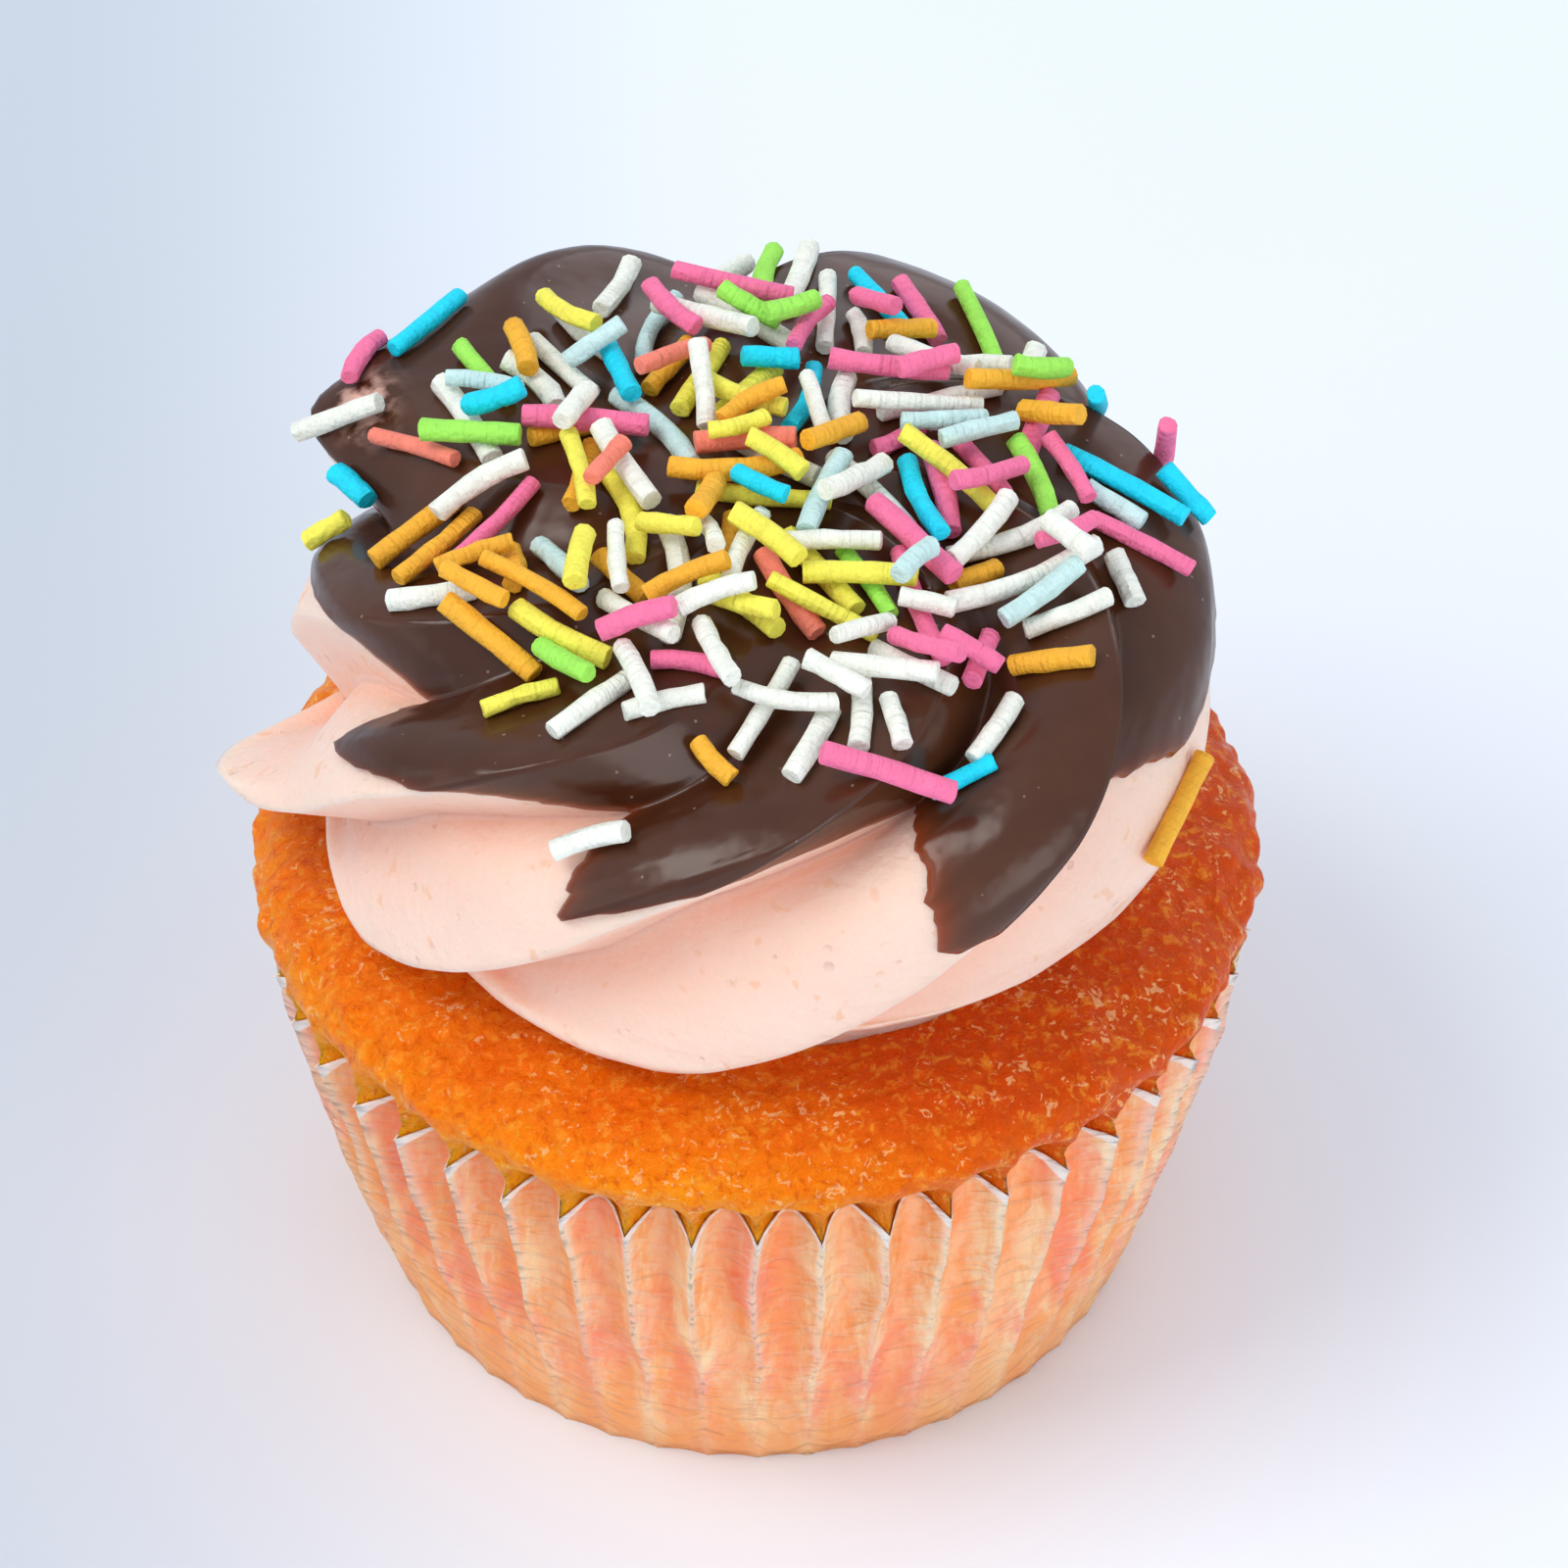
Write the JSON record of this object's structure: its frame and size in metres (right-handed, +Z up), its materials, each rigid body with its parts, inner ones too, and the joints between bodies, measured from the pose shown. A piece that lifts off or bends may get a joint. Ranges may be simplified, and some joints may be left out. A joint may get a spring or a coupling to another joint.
{
  "type": "cupcake",
  "caption": "Frosted cupcake in a pleated paper case, with a twisted buttercream swirl, a chocolate coat over the crown and rod sprinkles; it stands on its flat base.",
  "frame": {"origin": "middle of the flat underside of the paper case", "axes": "+Z up through the crown; -Y is the front, the side on which the low chocolate tongues show"},
  "size_m": [0.0661, 0.0646, 0.0625],
  "materials": {
    "case_paper": "satin",
    "sponge_crumb": "satin",
    "buttercream": "satin",
    "chocolate": "satin"
  },
  "bodies": {
    "root": {"paper_case": "case_paper", "sponge": "sponge_crumb", "buttercream": "buttercream", "chocolate_coat": "chocolate"}
  },
  "joints": []
}
